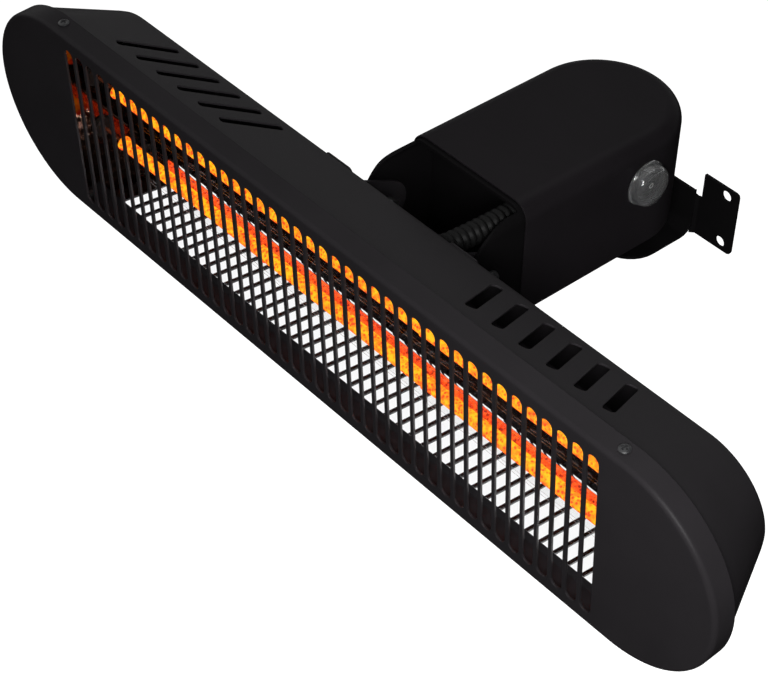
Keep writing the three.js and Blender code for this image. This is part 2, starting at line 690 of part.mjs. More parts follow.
// ---- Wall bracket ----------------------------------------------------------------------
function wallBracket() {
  const [t, r, yb] = [BRACKET_SHEET, BEND_RADIUS, PLATE_FRONT - BEND_RADIUS];
  const zc = SHELF_TOP + r;
  const section = polygon([
    [SHELF_FRONT, SHELF_TOP - t], ...arc(yb, zc, r + t, -90, 0, 5), [PLATE_FRONT + t, PLATE_TOP],
    [PLATE_FRONT, PLATE_TOP], ...arc(yb, zc, r, 0, -90, 5), [SHELF_FRONT, SHELF_TOP],
  ]);
  const plan = new THREE.Shape();
  plan.moveTo(SHELF_HALF, 290);
  plan.lineTo(-SHELF_HALF, 290);
  const [cx, cy] = [SHELF_HALF - SHELF_CORNER, SHELF_FRONT + SHELF_CORNER];
  plan.absarc(-cx, cy, SHELF_CORNER, Math.PI, Math.PI * 1.5, false);
  plan.absarc(cx, cy, SHELF_CORNER, Math.PI * 1.5, Math.PI * 2, false);
  const folded90 = prism(section, 'x', -SHELF_HALF, SHELF_HALF).intersect(prism(plan, 'z', -80, 0));
  return cut(union([folded90, wallEar(-1), wallEar(1)]), [
    ...[-1, 1].map((side) => relief(side)),
    rod(SWIVEL_HOLE, 'z', SHELF_TOP - 5, SHELF_TOP + 5, 0, SWIVEL_Y, 0, 24),
  ]);
}

// An ear stepped back to the wall by a slanted joggle, with two fixing holes.
function wallEar(side) {
  const [t, y, s] = [BRACKET_SHEET, PLATE_FRONT, EAR_STEP];
  const plan = polygon([
    [33, y], [36.4, y], [36.4 + s, y + s], [EAR_END, y + s],
    [EAR_END, y + s + t], [35.6 + s, y + s + t], [35.6, y + t], [33, y + t],
  ].map(([x, v]) => [side * x, v]));
  const middle = (EAR_TOP + SHELF_TOP - BRACKET_SHEET) / 2;
  const height = EAR_TOP - SHELF_TOP + BRACKET_SHEET;
  const face = roundedRect(side * (EAR_END - 30), middle, 60, height, 2.5);
  return cut(prism(plan, 'z', -90, 0).intersect(prism(face, 'y', 260, 290, 1)), [
    ...[-0.5, 0.5].map((k) => rod(
      HOLE_RADIUS, 'y', 260, 290, side * HOLE_X, 0, -EAR_DROP + k * HOLE_SPACING, 16)),
    ...[[-80, SHELF_TOP + BEND_RADIUS], [PLATE_TOP, 0]].map(([z0, z1]) => {
      const [x0, x1] = pair(side, 20, 36.2);
      return box(x0, x1, 260, 290, z0, z1);
    }),
  ]);
}

// The round-bottomed notch between the back plate and an ear.
function relief(side) {
  const notch = new THREE.Shape();
  notch.moveTo(side * 36.2, 0);
  notch.lineTo(side * 36.2, -32.6);
  notch.lineTo(side * 37.6, -34.4);
  notch.lineTo(side * 39.4, -34.4);
  notch.lineTo(side * 40.6, -33);
  notch.lineTo(side * 40.6, 0);
  return prism(notch, 'y', 260, 290);
}

// ---- Assembly --------------------------------------------------------------------------
place(head, 'front_cover', frontCover(), BLACK);
place(head, 'rear_housing', rearHousing(), BLACK);
place(head, 'cover_screw_top_left', coverScrew(-1, 1), BLACK_STEEL);
place(head, 'cover_screw_top_right', coverScrew(1, 1), BLACK_STEEL);
place(head, 'cover_screw_bottom_left', coverScrew(-1, -1), BLACK_STEEL);
place(head, 'cover_screw_bottom_right', coverScrew(1, -1), BLACK_STEEL);
place(head, 'reflector_trough', reflector(), MIRROR);
place(head, 'reflector_end_left', reflectorEnd(-1), MIRROR);
place(head, 'reflector_end_right', reflectorEnd(1), MIRROR);
place(head, 'quartz_tube', quartzTube(-TUBE_Z), QUARTZ);
place(head, 'heating_element', heatingElement(-TUBE_Z), GLOW);
place(head, 'lamp_base_left', lampBase(-1, -TUBE_Z), CERAMIC);
place(head, 'lamp_base_right', lampBase(1, -TUBE_Z), CERAMIC);
place(head, 'upper_quartz_tube', quartzTube(TUBE_Z), QUARTZ);
place(head, 'upper_heating_element', heatingElement(TUBE_Z), GLOW);
place(head, 'upper_lamp_base_left', lampBase(-1, TUBE_Z), CERAMIC);
place(head, 'upper_lamp_base_right', lampBase(1, TUBE_Z), CERAMIC);
place(head, 'lamp_holder_left', lampHolder(-1), STEEL);
place(head, 'lamp_holder_right', lampHolder(1), STEEL);
place(head, 'head_bracket_left', headBracket(-1), BLACK);
place(head, 'head_bracket_right', headBracket(1), BLACK);
place(head, 'bracket_screw_top_left', bracketScrew(-1, 1), BLACK_STEEL);
place(head, 'bracket_screw_top_right', bracketScrew(1, 1), BLACK_STEEL);
place(head, 'bracket_screw_bottom_left', bracketScrew(-1, -1), BLACK_STEEL);
place(head, 'bracket_screw_bottom_right', bracketScrew(1, -1), BLACK_STEEL);
place(head, 'head_gland', headGland(), PLASTIC);
place(arm, 'conduit', conduit(), PLASTIC);
place(arm, 'arm_gland', armGland(), PLASTIC);
place(arm, 'arm_bulkhead', bulkhead(), BLACK_INNER);
place(arm, 'arm_housing', armHousing(), BLACK);
place(arm, 'arm_base', armBase(), BLACK);
place(arm, 'tilt_fork', fork(), BLACK);
place(arm, 'tilt_bolt_left', tiltBolt(-1), BLACK_STEEL);
place(arm, 'tilt_bolt_right', tiltBolt(1), BLACK_STEEL);
place(arm, 'tilt_washer_left', tiltWasher(-1), NYLON);
place(arm, 'tilt_washer_right', tiltWasher(1), NYLON);
place(arm, 'tilt_nut_left', tiltNut(-1), STEEL);
place(arm, 'tilt_nut_right', tiltNut(1), STEEL);
place(arm, 'switch_body', switchBody(), PLASTIC);
place(arm, 'switch_rocker', switchRocker(), PLASTIC);
place(arm, 'switch_cover', switchCover(), CLEAR);
place(arm, 'cord_inlet', cordInlet(), PLASTIC);
place(arm, 'swivel_washer', swivelWasher(), STEEL);
place(bracket, 'swivel_nut', swivelNut(), STEEL);
place(bracket, 'swivel_bolt', swivelBolt(), STEEL);
place(bracket, 'swivel_boss', swivelBoss(), BLACK);
place(bracket, 'swivel_disc', swivelDisc(), NYLON);
place(bracket, 'wall_bracket', wallBracket(), BLACK);

export default heater;
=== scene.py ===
"""Wall-mounted electric bar heater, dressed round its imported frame. Metres, +Z up."""

import bmesh
import bpy
import numpy as np
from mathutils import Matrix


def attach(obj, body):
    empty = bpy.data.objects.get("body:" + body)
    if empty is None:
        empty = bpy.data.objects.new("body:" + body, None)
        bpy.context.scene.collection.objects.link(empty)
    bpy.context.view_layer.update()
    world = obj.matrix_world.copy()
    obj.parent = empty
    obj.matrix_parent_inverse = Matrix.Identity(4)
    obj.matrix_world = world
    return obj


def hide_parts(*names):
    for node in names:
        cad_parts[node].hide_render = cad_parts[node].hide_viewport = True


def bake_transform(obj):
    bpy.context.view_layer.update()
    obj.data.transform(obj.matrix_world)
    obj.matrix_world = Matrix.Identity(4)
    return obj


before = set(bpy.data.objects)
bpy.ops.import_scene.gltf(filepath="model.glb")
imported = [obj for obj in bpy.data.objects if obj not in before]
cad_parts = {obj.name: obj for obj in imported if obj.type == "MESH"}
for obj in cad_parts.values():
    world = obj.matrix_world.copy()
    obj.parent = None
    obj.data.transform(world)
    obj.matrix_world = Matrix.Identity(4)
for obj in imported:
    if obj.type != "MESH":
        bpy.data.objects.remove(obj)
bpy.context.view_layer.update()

# ---- View ----------------------------------------------------------------------------------
# The heater is seen from in front, above and to the right, from about a metre away through a
# long lens, so the head runs down the picture from the top left.
LENS = 102.06
camera_data = bpy.data.cameras.new("camera")
camera_data.lens = LENS
camera_data.sensor_width = 36.0
camera_data.shift_x = -0.0022
camera_data.shift_y = -0.0115
camera_data.clip_start = 0.02
camera = bpy.data.objects.new("camera", camera_data)
camera.location = (0.69297, -0.84178, 0.82137)
camera.rotation_euler = np.radians((48.339, -1.158, 49.156))
bpy.context.collection.objects.link(camera)
bpy.context.scene.camera = camera
bpy.context.scene.view_settings.view_transform = "Standard"


# ---- Shading -------------------------------------------------------------------------------
# Every finish is worked out from a place on the piece, so a Signal wraps one socket: sums and
# products of signals add Math nodes, and make() adds any other node.
class Signal:
    """An output socket of a shader node, used in Python expressions."""

    def __init__(self, socket):
        self.socket = socket

    def make(self, kind, settings, inputs, output=0):
        """Add a node of that kind, give it its settings and its inputs' values or links."""
        tree = self.socket.id_data
        node = tree.nodes.new(kind)
        for name, value in settings.items():
            if name == "stops":
                ramp = node.color_ramp.elements
                while len(ramp) < len(value):
                    ramp.new(0.5)
                for stop, (position, colour) in zip(ramp, value):
                    stop.position = position
                    stop.color = colour
            else:
                setattr(node, name, value)
        for name, value in inputs.items():
            if isinstance(value, Signal):
                tree.links.new(value.socket, node.inputs[name])
            else:
                node.inputs[name].default_value = value
        return Signal(node.outputs[output]) if node.outputs else None

    def math(self, operation, a, b):
        return self.make("ShaderNodeMath", {"operation": operation}, {0: a, 1: b})

    def __add__(self, other):
        return self.math("ADD", self, other)

    __radd__ = __add__

    def __mul__(self, other):
        return self.math("MULTIPLY", self, other)

    __rmul__ = __mul__

    def __sub__(self, other):
        return self.math("SUBTRACT", self, other)

    def __rsub__(self, other):
        return self.math("SUBTRACT", other, self)

    def highest(self, other):
        return self.math("MAXIMUM", self, other)


def begin(tree, kind="ShaderNodeTexCoord", output="Object"):
    """Clear a node tree and return its first signal."""
    tree.nodes.clear()
    return Signal(tree.nodes.new(kind).outputs[output])


def noise(place, scale, detail=2.0, stretch=(1.0, 1.0, 1.0)):
    """Smooth noise from 0 to 1 over the piece, finer with scale, drawn out by stretch."""
    turned = place.make("ShaderNodeMapping", {}, {"Vector": place, "Scale": stretch})
    return place.make("ShaderNodeTexNoise", {}, {"Vector": turned, "Scale": scale, "Detail": detail})


def blend_colours(place, factor, first, second):
    """The first colour where the factor is 0, the second where it is 1."""
    return place.make("ShaderNodeMix", {"data_type": "RGBA"}, {0: factor, 6: first, 7: second}, 2)


def bump(place, height, depth, strength=1.0):
    """A surface normal that follows a height from 0 to 1, depth metres deep."""
    return place.make("ShaderNodeBump", {}, {"Strength": strength, "Distance": depth, "Height": height})


# ---- Studio --------------------------------------------------------------------------------
# A white floor well below the heater and a white surround, lit by one lamp from the upper
# right and a wide one above and behind. Mirrored rays see only the floor's far parts and the
# surround to the left and front as white, so the reflector keeps dark bands: the floor's nearer
# part is painted dark for them, a painted shadow seen only in reflections.
AMBIENT = 0.2
FLOOR_Z = -0.55
FLOOR_HALF = 14.0
FLOOR_GLOW = 0.85
world = bpy.data.worlds.new("surround")
world.use_nodes = True
bpy.context.scene.world = world
camera_ray = begin(world.node_tree, "ShaderNodeLightPath", "Is Camera Ray")
path = camera_ray.socket.node.outputs
towards = Signal(world.node_tree.nodes.new("ShaderNodeTexCoord").outputs["Generated"])
sideways = towards.make("ShaderNodeSeparateXYZ", {}, {"Vector": towards}, "X")
backwards = towards.make("ShaderNodeSeparateXYZ", {}, {"Vector": towards}, "Y")
pale_side = sideways.make("ShaderNodeMapRange", {}, {
    "Value": sideways, "From Min": -0.05, "From Max": 0.25, "To Min": 1.0, "To Max": 0.01})
pale_front = backwards.make("ShaderNodeMapRange", {}, {
    "Value": backwards, "From Min": -0.1, "From Max": 0.3, "To Min": 1.0, "To Max": 0.35})
mirrored = Signal(path["Is Glossy Ray"]).highest(Signal(path["Is Transmission Ray"]))
level = camera_ray.highest(mirrored * pale_side * pale_front).highest(AMBIENT * (1 - mirrored))
sky = level.make("ShaderNodeBackground", {}, {"Color": (1, 1, 1, 1), "Strength": level})
sky.make("ShaderNodeOutputWorld", {}, {"Surface": sky})

floor_data = bpy.data.meshes.new("floor")
corners = FLOOR_HALF * np.array([(-1, -1), (1, -1), (1, 1), (-1, 1)])
floor_data.from_pydata([(x, y, FLOOR_Z) for x, y in corners], [], [(0, 1, 2, 3)])
floor = bpy.data.objects.new("floor", floor_data)
bpy.context.collection.objects.link(floor)
pale = bpy.data.materials.new("pale_floor")
pale.use_nodes = True
camera_ray = begin(pale.node_tree, "ShaderNodeLightPath", "Is Camera Ray")
path = camera_ray.socket.node.outputs
spot = Signal(pale.node_tree.nodes.new("ShaderNodeTexCoord").outputs["Object"])
distance = spot.make("ShaderNodeVectorMath", {"operation": "LENGTH"}, {0: spot}, "Value")
beyond = distance.make("ShaderNodeMapRange", {}, {
    "Value": distance, "From Min": 4.0, "From Max": 10.0, "To Min": 0.0, "To Max": 1.0})
mirrored = Signal(path["Is Glossy Ray"]).highest(Signal(path["Is Transmission Ray"]))
seen = camera_ray.highest(mirrored * beyond)
glow = seen.make("ShaderNodeEmission", {}, {"Color": (1, 1, 1, 1), "Strength": FLOOR_GLOW * seen})
# Painted shadow: to mirrored rays the floor within four metres of the heater is drawn nearly black, fading
# out by ten.
matt = seen.make("ShaderNodeBsdfDiffuse", {}, {
    "Color": blend_colours(seen, mirrored * (1 - beyond), (0.8, 0.8, 0.8, 1), (0.02, 0.018, 0.018, 1))})
both = seen.make("ShaderNodeAddShader", {}, {0: glow, 1: matt})
both.make("ShaderNodeOutputMaterial", {}, {"Surface": both})
floor_data.materials.append(pale)


def lamp(name, place, aim, size, power):
    """A square soft lamp at a place, turned towards a point."""
    data = bpy.data.lights.new(name, "AREA")
    data.size = size
    data.energy = power
    light = bpy.data.objects.new(name, data)
    light.location = place
    along = np.subtract(aim, place)
    yaw = np.arctan2(-along[0], along[1])
    pitch = np.arctan2(np.hypot(along[0], along[1]), -along[2])
    light.rotation_euler = (pitch, 0, yaw)
    light.visible_camera = False
    bpy.context.collection.objects.link(light)


lamp("key", (0.55, -0.65, 0.45), (0.1, -0.2, 0.03), 0.3, 8.5)
lamp("fill", (-0.3, 0.6, 1.6), (0, -0.2, 0.03), 1.2, 6)

# ---- Coated sheet steel --------------------------------------------------------------------
# Cover, housing, arm, fork and bracket are bent sheet under one black satin powder coat with a
# very fine orange peel. Shade is painted into its copies: the arm's is drawn darker than the
# head's, the fork's and bracket's darkest.
def powder_coat(name, colour, roughness, specular):
    """A black coat, mottled a little in colour and gloss, with a fine pebbled surface."""
    material = bpy.data.materials.new(name)
    material.use_nodes = True
    place = begin(material.node_tree)
    cloud = noise(place, 22, 4.0)
    peel = noise(place, 1500, 2.0)
    lighter = tuple(c * 1.5 for c in colour[:3]) + (1,)
    surface = place.make("ShaderNodeBsdfPrincipled", {}, {
        "Base Color": blend_colours(place, cloud, colour, lighter),
        "Roughness": roughness + 0.1 * (cloud - 0.5),
        "Specular IOR Level": specular,
        "Normal": bump(place, peel, 0.00006, 0.5),
    })
    surface.make("ShaderNodeOutputMaterial", {}, {"Surface": surface})
    return material


coat = powder_coat("black_coat", (0.0108, 0.0098, 0.0108, 1), 0.42, 0.05)
# Painted shade: the arm's copy of the coat is drawn darker, and the copy for the fork, bracket and bulkhead
# darkest.
arm_coat_painted_shade = powder_coat("black_coat_arm_painted_shade", (0.006, 0.0052, 0.006, 1), 0.42, 0.04)
coat_painted_deep_shade = powder_coat("black_inside", (0.0028, 0.0026, 0.0028, 1), 0.5, 0.02)

# The head leans forward by TILT about the X axis through its front centre; the arm is level.
MM = 0.001
SHARP_FROM = 40
WALL_DEPTH = 277.5
EAR_DROP = 39.0
TILT = np.radians(3.7)


def on_arm(points):
    """Arm millimetres (x, depth behind the head's front, height) to metres in the frame."""
    return (np.asarray(points, float) + (0, -WALL_DEPTH, EAR_DROP)) * MM


def on_head(points):
    """Head millimetres, turned about X by the lean, then placed as the arm's are."""
    p = np.asarray(points, float)
    cos, sin = np.cos(TILT), np.sin(TILT)
    return on_arm(np.stack([p[:, 0], p[:, 1] * cos - p[:, 2] * sin, p[:, 1] * sin + p[:, 2] * cos], 1))


def piece(name, points, faces, body, material, outward=None):
    """A mesh object from points in metres: doubles merged, normals made consistent and turned
    so that the face nearest to the outward hint's side looks along it."""
    data = bpy.data.meshes.new(name)
    data.from_pydata([tuple(p) for p in points], [], [tuple(f) for f in faces])
    shape = bmesh.new()
    shape.from_mesh(data)
    bmesh.ops.remove_doubles(shape, verts=shape.verts, dist=2e-6)
    bmesh.ops.recalc_face_normals(shape, faces=shape.faces)
    if outward is not None:
        hint = np.asarray(outward, float)
        face = max(shape.faces, key=lambda f: np.dot(f.calc_center_median(), hint) * 100 + f.calc_area())
        if np.dot(face.normal, hint) < 0:
            bmesh.ops.reverse_faces(shape, faces=shape.faces)
    shape.to_mesh(data)
    shape.free()
    data.shade_smooth()
    data.set_sharp_from_angle(angle=np.radians(SHARP_FROM))
    data.materials.append(material)
    made = bpy.data.objects.new(name, data)
    bpy.context.collection.objects.link(made)
    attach(made, body)
    return made


def soften(obj, width, segments=2, sheet=None, angle=35):
    """Give an open surface its sheet thickness, round the edges left sharp, weight normals."""
    if sheet:
        wall = obj.modifiers.new("sheet", "SOLIDIFY")
        wall.thickness = sheet * MM
        wall.offset = -1
        wall.use_even_offset = True
    edge = obj.modifiers.new("edge", "BEVEL")
    edge.width = width * MM
    edge.segments = segments
    edge.limit_method = "ANGLE"
    edge.angle_limit = np.radians(angle)
    edge.use_clamp_overlap = True
    weighted = obj.modifiers.new("normals", "WEIGHTED_NORMAL")
    weighted.keep_sharp = True


def arc(cy, cz, radius, start, end, steps):
    """Points of a circle's arc between two angles in degrees."""
    a = np.radians(np.linspace(start, end, steps + 1))
    return np.stack([cy + radius * np.cos(a), cz + radius * np.sin(a)], 1)


# ---- Front cover ---------------------------------------------------------------------------
# One pressed sheet: a flat stadium plate with rounded edge and a 14 mm rim, punched with 42
# upright slots, each with half-round ends.
HEAD_HALF = 300.0
RIM_RADIUS = 67.13
END_X = HEAD_HALF - RIM_RADIUS
COVER_SHEET = 1.5
RIM_DEPTH = 14.0
RIM_ROUND = 3.0
SLOTS = 42
SLOT_PITCH = 10.55
SLOT_HALF_WIDTH = 4.1
SLOT_HALF_HEIGHT = 58.0
SLOT_STEPS = 8
FIELD_TOP = 59.6
END_STEPS = 56


def stadium_path(top_x):
    """Stations round a stadium: along the top at the given x, round the right end, back along
    the bottom and round the left end. Each is the x of its centre and its outward direction."""
    turn = np.linspace(0, np.pi, END_STEPS + 1)[1:-1]
    right, left = np.full(turn.size, END_X), np.full(turn.size, -END_X)
    centre = np.concatenate([top_x, right, top_x[::-1], left])
    flat = np.zeros(top_x.size)
    angle = np.concatenate([flat, turn, flat + np.pi, np.pi + turn])
    return centre, np.sin(angle), np.cos(angle)


def ring_faces(rows, columns):
    """Quads between successive closed rings of equal length, numbered row by row."""
    r, c = np.meshgrid(np.arange(rows - 1), np.arange(columns), indexing="ij")
    a = (r * columns + c).ravel()
    b = (r * columns + (c + 1) % columns).ravel()
    return np.stack([a, b, b + columns, a + columns], 1)


def punched_cell(above, below, ring):
    """Faces of one strip from its upper edge to its lower edge round a hole. The hole's ring
    holds its upper end left to right and then its lower end right to left."""
    outer = np.concatenate([above, below[::-1]])
    faces = []
    for k in range(outer.size):
        nxt = (k + 1) % outer.size
        faces.append((outer[k], outer[nxt], ring[nxt], ring[k]))
    return faces


def front_cover():
    """Rings of the rounded rim plus the slotted field: z = height, y = depth, x along the head."""
    steps = np.linspace(-0.5, 0.5, SLOT_STEPS + 1)
    centres = (np.arange(SLOTS) - (SLOTS - 1) / 2) * SLOT_PITCH
    edges = np.unique(np.round((centres[:, None] + steps * SLOT_PITCH).ravel(), 6))
    top_x = np.concatenate([[-END_X], edges, [END_X]])
    cx, dx, dz = stadium_path(top_x)
    section = np.concatenate([arc(RIM_RADIUS - RIM_ROUND, RIM_ROUND, RIM_ROUND, -90, 0, 6),
                              [[RIM_RADIUS, RIM_DEPTH]]])
    rings = np.stack([cx + section[:, :1] * dx, np.broadcast_to(section[:, 1:], (len(section), cx.size)),
                      section[:, :1] * dz], 2).reshape(-1, 3)
    faces = ring_faces(len(section), cx.size).tolist()
    count = len(rings)
    field = np.concatenate([np.stack([edges, 0 * edges, 0 * edges + side * FIELD_TOP], 1)
                            for side in (1, -1)])
    above = count + np.arange(edges.size)
    below = above + edges.size
    bottom_start = top_x.size + END_STEPS - 1
    for k in range(edges.size - 1):
        top = 1 + k
        bottom = bottom_start + top_x.size - 2 - k
        faces.append((top, top + 1, above[k + 1], above[k]))
        faces.append((bottom, bottom - 1, below[k + 1], below[k]))
    right = [above[-1]] + list(range(top_x.size - 2, bottom_start + 2)) + [below[-1]]
    left = [below[0]] + list(range(bottom_start + top_x.size - 2, cx.size)) + [0, 1, above[0]]
    faces += [right, left]
    holes = []
    turn = np.linspace(np.pi, 0, SLOT_STEPS + 1)
    reach = SLOT_HALF_HEIGHT - SLOT_HALF_WIDTH
    start = count + 2 * edges.size
    for i, centre in enumerate(centres):
        x = centre + SLOT_HALF_WIDTH * np.cos(turn)
        z = reach + SLOT_HALF_WIDTH * np.sin(turn)
        holes.append(np.stack([np.r_[x, x[::-1]], np.zeros(2 * x.size), np.r_[z, -z]], 1))
        ring = start + i * 2 * x.size + np.arange(2 * x.size)
        span = slice(i * SLOT_STEPS, (i + 1) * SLOT_STEPS + 1)
        faces += punched_cell(above[span], below[span], ring)
    return np.concatenate([rings, field, *holes]), faces


points, faces = front_cover()
cover = piece("front_cover_sheet", on_head(points), faces, "head", coat, (0, -1, 0))
soften(cover, 0.35, 2, COVER_SHEET)
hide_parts("front_cover")

# ---- Rear housing --------------------------------------------------------------------------
# A drawn steel tub that slides into the cover's rim, then tapers to a flat stadium back. Six
# slanted vents are punched through the taper on each side of the middle, above and below.
TUB_SHEET = 1.2
TUB_LIP = 65.33
TUB_BACK = 41.4
TUB_DEPTH = 65.4
TUB_ROUND = 3.2
VENTS = 6
VENT_PITCH = 19.6
VENT_FIRST = 96.3
VENT_FROM, VENT_TO = 24.8, 57.6
VENT_SLANT = 13.8
VENT_WIDTH = 7.0
VENT_CORNER = 2.4
VENT_STEPS = 9
CELL_FROM, CELL_TO = 20.0, 60.6
TAPER_FROM = 14.5


def vent_outline():
    """A rounded rectangle as half-width and half-length coordinates: one end left to right,
    then the other right to left."""
    w = VENT_WIDTH / 2 - VENT_CORNER
    length = np.hypot(VENT_SLANT, VENT_TO - VENT_FROM) / 2 - VENT_CORNER
    steps = (VENT_STEPS - 1) // 2
    end = np.concatenate([arc(-w, length, VENT_CORNER, 180, 90, steps),
                          arc(w, length, VENT_CORNER, 90, 0, steps)])
    return np.concatenate([end, end[::-1] * (1, -1)])


def taper(y):
    """The tub's half-height at a depth along its straight taper."""
    return TUB_LIP + (TUB_BACK - TUB_LIP) * (y - TAPER_FROM) / (TUB_DEPTH - TUB_ROUND * 0.6 - TAPER_FROM)


def rear_housing():
    """Rings of the tub's section; in the two vent rows the columns lean with the vents."""
    mids = VENT_FIRST + VENT_PITCH * np.arange(VENTS)
    steps = np.linspace(-0.5, 0.5, VENT_STEPS + 1)
    group = np.unique(np.round((mids[:, None] + steps * VENT_PITCH).ravel(), 6))
    top_x = np.concatenate([[-END_X], -group[::-1], [-40, 0, 40], group, [END_X]])
    cx, dx, dz = stadium_path(top_x)
    section = np.concatenate([
        [[TUB_LIP, 3.3], [TUB_LIP, 13.5]], arc(TUB_LIP - 3, 14.0, 3, 0, 24, 3),
        [[taper(CELL_FROM), CELL_FROM], [taper(CELL_TO), CELL_TO]],
        arc(TUB_BACK - TUB_ROUND, TUB_DEPTH - TUB_ROUND, TUB_ROUND, 24, 90, 5)])
    near = 6
    lean = VENT_SLANT / (VENT_TO - VENT_FROM) * (CELL_TO - CELL_FROM) / 2
    inner, outer = group[0], group[-1]
    share = np.interp(np.abs(cx), [0, inner, outer, END_X], [0, 1, 1, 0]) * np.sign(cx)
    straight = np.abs(dx) < 1e-9
    shift = np.zeros((len(section), cx.size))
    shift[near] = lean * share * straight
    shift[near + 1] = -lean * share * straight
    rings = np.stack([cx + shift + section[:, :1] * dx,
                      np.broadcast_to(section[:, 1:], (len(section), cx.size)), section[:, :1] * dz], 2)
    grid = np.arange(len(section) * cx.size).reshape(len(section), cx.size)
    faces = ring_faces(len(section), cx.size)
    open_columns = set()
    holes, cells = [], []
    outline = vent_outline()
    angle = np.arctan2(VENT_SLANT, VENT_TO - VENT_FROM)
    bottom_start = top_x.size + END_STEPS - 1
    start = grid.size
    for side in (-1, 1):
        for mid in side * mids:
            turned = np.stack([outline[:, 0] * np.cos(angle) - side * outline[:, 1] * np.sin(angle),
                               side * outline[:, 0] * np.sin(angle) + outline[:, 1] * np.cos(angle)], 1)
            first = int(np.argmin(np.abs(top_x - (mid - VENT_PITCH / 2))))
            for face in (1, -1):
                y = turned[:, 1] + (VENT_FROM + VENT_TO) / 2
                holes.append(np.stack([mid + turned[:, 0], y, face * taper(y)], 1))
                ring = start + np.arange(len(outline))
                start += len(outline)
                columns = first + np.arange(VENT_STEPS + 1)
                if face < 0:
                    columns = bottom_start + top_x.size - 1 - columns
                cells += punched_cell(grid[near + 1][columns], grid[near][columns], ring)
                low = columns.min()
                open_columns.update(near * cx.size + low + k for k in range(VENT_STEPS))
    keep = [f for i, f in enumerate(faces.tolist()) if i not in open_columns]
    back = list(grid[-1])
    return np.concatenate([rings.reshape(-1, 3), *holes]), keep + cells + [back]


points, faces = rear_housing()
tub = piece("rear_housing_shell", on_head(points), faces, "head", coat, (0, 1, 0))
soften(tub, 0.3, 2, TUB_SHEET)
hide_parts("rear_housing")

# ---- Reflector -----------------------------------------------------------------------------
# Polished aluminium sheet folded into a trough behind the lamps, closed by a plate at each end.
TROUGH = np.array([[15.1, 58.0], [45.2, 32.9], [45.2, -32.9], [15.1, -58.0]])
TROUGH_HALF = 231.5


def polished(name, dark, light, roughness):
    """Rolled sheet, streaked along the trough: nearly a mirror where its roughness is low."""
    material = bpy.data.materials.new(name)
    material.use_nodes = True
    place = begin(material.node_tree)
    streak = noise(place, 260, 3.0, (0.02, 1.0, 1.0))
    surface = place.make("ShaderNodeBsdfPrincipled", {}, {
        "Base Color": blend_colours(place, streak, dark, light),
        "Metallic": 1.0,
        "Roughness": roughness + 0.02 * streak,
        "Normal": bump(place, streak, 0.00001, 0.2),
    })
    surface.make("ShaderNodeOutputMaterial", {}, {"Surface": surface})
    return material


# The trough is bright; its end plates are drawn dark brown, painted shade that dims what they mirror.
mirror = polished("polished_reflector", (0.93, 0.93, 0.94, 1), (0.97, 0.97, 0.97, 1), 0.02)
end_painted_dark = polished("end_plate_painted_dark", (0.07, 0.034, 0.026, 1), (0.16, 0.085, 0.06, 1), 0.04)


def folded_trough():
    """The section's straight flanks with each fold rounded, carried along the head."""
    radius = 2.0
    section = [TROUGH[0]]
    for before, corner, after in zip(TROUGH, TROUGH[1:], TROUGH[2:]):
        a = (before - corner) / np.hypot(*(before - corner))
        b = (after - corner) / np.hypot(*(after - corner))
        t = np.linspace(0, 1, 6)[:, None]
        section += list(corner + radius * (a * (1 - t) ** 2 + b * t ** 2))
    section = np.array(section + [TROUGH[-1]])
    x = np.linspace(-TROUGH_HALF, TROUGH_HALF, 3)
    grid = np.stack([np.broadcast_to(x[:, None], (x.size, len(section))),
                     np.broadcast_to(section[:, 0], (x.size, len(section))),
                     np.broadcast_to(section[:, 1], (x.size, len(section)))], 2).reshape(-1, 3)
    return grid, strip_faces(x.size, len(section))


def strip_faces(rows, columns):
    """Quads of an open grid numbered row by row."""
    r, c = np.meshgrid(np.arange(rows - 1), np.arange(columns - 1), indexing="ij")
    a = (r * columns + c).ravel()
    return np.stack([a, a + 1, a + columns + 1, a + columns], 1)


points, faces = folded_trough()
trough = piece("reflector_sheet", on_head(points), faces, "head", mirror, (0, 0.3, 1))
soften(trough, 0.2, 1, 1.0, 60)
trough.modifiers["sheet"].offset = 1
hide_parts("reflector_trough")
for end in ("reflector_end_left", "reflector_end_right"):
    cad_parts[end].data.materials.clear()
    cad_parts[end].data.materials.append(end_painted_dark)

# ---- Lamps ---------------------------------------------------------------------------------
# Two clear quartz tubes, one above the other, each over a glowing rod with discs that centre
# it. Ceramic bases plug the tubes' ends and sit in bent steel holders behind the end plates.
TUBE_Y, TUBE_Z = 24.6, 19.75
TUBE_RADIUS, TUBE_BORE, TUBE_HALF = 8.8, 7.3, 229.0
HOT_HALF = 209.0


def lathe(profile, axis, centre, segments=48):
    """Revolve [radius, height] pairs about an axis through a point of the arm or the head:
    a full turn of the profile as closed rings, or poles where the radius is zero."""
    profile = np.asarray(profile, float)
    a = np.linspace(0, 2 * np.pi, segments, endpoint=False)
    across = np.stack([profile[:, :1] * np.cos(a), profile[:, :1] * np.sin(a),
                       np.broadcast_to(profile[:, 1:], (len(profile), segments))], 2)
    order = {"x": (2, 0, 1), "y": (0, 2, 1), "z": (0, 1, 2)}[axis]
    return across[:, :, order].reshape(-1, 3) + centre, ring_faces(len(profile), segments)


def turned_piece(name, node, profile, axis, centre, place, body, material, edge=0.0, segments=48):
    """A revolved piece that stands for one CAD node, its arrises rounded if asked."""
    points, faces = lathe(profile, axis, centre, segments)
    made = piece(name, place(points), faces, body, material)
    if edge:
        soften(made, edge, 2, None, 40)
    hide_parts(node)
    return made


